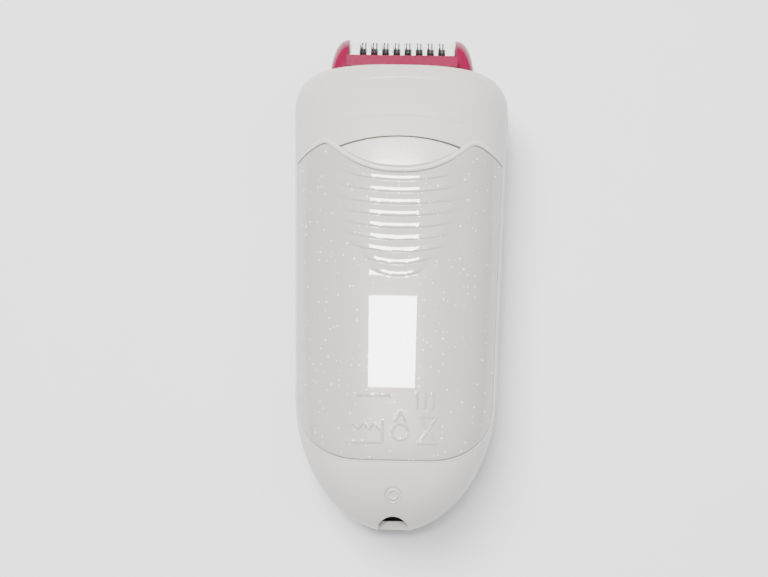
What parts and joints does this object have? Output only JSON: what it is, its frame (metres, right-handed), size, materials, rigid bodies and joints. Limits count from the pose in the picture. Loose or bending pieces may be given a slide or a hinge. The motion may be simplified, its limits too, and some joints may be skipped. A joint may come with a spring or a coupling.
{
  "type": "epilator",
  "caption": "Cordless epilator with a split housing, a glossy back panel, a pull-off head with a geared tweezer roller, and a push-button release.",
  "frame": {"origin": "under the middle of the device, on the surface that its front rests on", "axes": "+Z out of the back, +Y from the socket end to the head, +X to the right seen from the back with the head up"},
  "size_m": [0.065, 0.146, 0.0399],
  "materials": {
    "ivory_plastic": "fine satin texture",
    "pearl_panel": "clear gloss over pearl with fine flakes",
    "pink_plastic": "translucent gloss",
    "white_plastic": "smooth",
    "dark_rubber": "matte",
    "tweezer_steel": "bright stamped",
    "steel": "plated",
    "brass": "machined",
    "gear_plastic": "moulded",
    "black_plastic": "satin",
    "board_laminate": "solder mask",
    "cell_wrap": "shrink wrap",
    "clear_lens": "clear"
  },
  "bodies": {
    "housing": {"rear_housing": "ivory_plastic", "front_housing": "ivory_plastic", "back_panel": "pearl_panel", "screw_plug": "ivory_plastic", "housing_screw": "steel", "seat_screw_1": "steel", "seat_screw_2": "steel", "head_seat": "white_plastic", "output_seal": "dark_rubber", "charging_socket": "black_plastic", "contact_pin_1": "brass", "contact_pin_2": "brass", "battery_cell": "cell_wrap", "battery_tab_1": "steel", "battery_tab_2": "steel", "motor_can": "steel", "motor_screw_1": "steel", "motor_screw_2": "steel", "gear_bracket": "white_plastic", "circuit_board": "board_laminate", "chassis": "white_plastic", "switch_seal": "dark_rubber", "work_light_led": "clear_lens", "light_window": "clear_lens", "charge_light_guide": "clear_lens", "side_grip_left": "dark_rubber", "side_grip_right": "dark_rubber", "release_spring": "steel"},
    "button": {"release_button": "ivory_plastic"},
    "rotor": {"motor_shaft": "steel", "motor_pinion": "brass"},
    "crown": {"crown_gear": "gear_plastic", "crown_pinion": "brass", "crown_shaft": "steel"},
    "output": {"output_gear": "gear_plastic", "output_shaft": "steel"},
    "head": {"head_frame": "pink_plastic", "idler_pin": "steel", "roller_bush_left": "brass", "roller_bush_right": "brass"},
    "idler": {"head_idler_gear": "gear_plastic"},
    "roller": {"roller_shaft": "steel", "roller_gear": "gear_plastic", "roller_core": "white_plastic", "tweezer_disc_1": "tweezer_steel", "tweezer_disc_2": "tweezer_steel", "tweezer_disc_3": "tweezer_steel", "tweezer_disc_4": "tweezer_steel", "tweezer_disc_5": "tweezer_steel", "tweezer_disc_6": "tweezer_steel", "tweezer_disc_7": "tweezer_steel", "tweezer_disc_8": "tweezer_steel"},
    "clamp_1": {"clamp_bar_1": "tweezer_steel"},
    "clamp_2": {"clamp_bar_2": "tweezer_steel"},
    "clamp_3": {"clamp_bar_3": "tweezer_steel"},
    "clamp_4": {"clamp_bar_4": "tweezer_steel"},
    "clamp_5": {"clamp_bar_5": "tweezer_steel"},
    "switch": {"switch_knob": "white_plastic"},
    "unlock_1": {"unlock_button_1": "white_plastic"},
    "unlock_2": {"unlock_button_2": "white_plastic"}
  },
  "joints": [
    {"name": "head_release", "type": "slide", "parent": "housing", "child": "head", "axis": [0, 1, 0], "range_m": [0, 0.03]},
    {"name": "roller_spin", "type": "hinge", "parent": "head", "child": "roller", "pos_m": [0, 0.0654, 0.021], "axis": [1, 0, 0], "continuous": true},
    {"name": "idler_spin", "type": "hinge", "parent": "head", "child": "idler", "pos_m": [0, 0.0556, 0.021], "axis": [1, 0, 0], "continuous": true},
    {"name": "output_spin", "type": "hinge", "parent": "housing", "child": "output", "pos_m": [0, 0.0437, 0.021], "axis": [1, 0, 0], "continuous": true},
    {"name": "crown_spin", "type": "hinge", "parent": "housing", "child": "crown", "pos_m": [0, 0.0318, 0.021], "axis": [1, 0, 0], "continuous": true},
    {"name": "motor_spin", "type": "hinge", "parent": "housing", "child": "rotor", "pos_m": [0, 0.0225, 0.021], "axis": [0, 1, 0], "continuous": true},
    {"name": "clamp_1_slide", "type": "slide", "parent": "roller", "child": "clamp_1", "axis": [1, 0, 0], "range_m": [-0.0004, 0], "stiffness_N_per_m": 200, "springref_m": 0.0004},
    {"name": "clamp_2_slide", "type": "slide", "parent": "roller", "child": "clamp_2", "axis": [1, 0, 0], "range_m": [-0.0004, 0], "stiffness_N_per_m": 200, "springref_m": 0.0004},
    {"name": "clamp_3_slide", "type": "slide", "parent": "roller", "child": "clamp_3", "axis": [1, 0, 0], "range_m": [-0.0004, 0], "stiffness_N_per_m": 200, "springref_m": 0.0004},
    {"name": "clamp_4_slide", "type": "slide", "parent": "roller", "child": "clamp_4", "axis": [1, 0, 0], "range_m": [-0.0004, 0], "stiffness_N_per_m": 200, "springref_m": 0.0004},
    {"name": "clamp_5_slide", "type": "slide", "parent": "roller", "child": "clamp_5", "axis": [1, 0, 0], "range_m": [-0.0004, 0], "stiffness_N_per_m": 200, "springref_m": 0.0004},
    {"name": "release_press", "type": "slide", "parent": "housing", "child": "button", "axis": [0, 0, -1], "range_m": [0, 0.001], "stiffness_N_per_m": 600, "springref_m": -0.0005, "deforming": ["release_spring"]},
    {"name": "switch_turn", "type": "hinge", "parent": "housing", "child": "switch", "pos_m": [0, 0.012, 0.0027], "axis": [0, 0, 1], "range_deg": [0, 60]},
    {"name": "unlock_1_press", "type": "slide", "parent": "housing", "child": "unlock_1", "axis": [0.6429, 0, 0.7659], "range_m": [0, 0.001], "stiffness_N_per_m": 400, "springref_m": -0.0005},
    {"name": "unlock_2_press", "type": "slide", "parent": "housing", "child": "unlock_2", "axis": [-0.6429, 0, 0.7659], "range_m": [0, 0.001], "stiffness_N_per_m": 400, "springref_m": -0.0005}
  ],
  "couplings": [
    {"joint": "idler_spin", "follows": "roller_spin", "ratio": -1},
    {"joint": "output_spin", "follows": "roller_spin", "ratio": 0.7},
    {"joint": "crown_spin", "follows": "roller_spin", "ratio": -1},
    {"joint": "motor_spin", "follows": "roller_spin", "ratio": -3.1111}
  ]
}
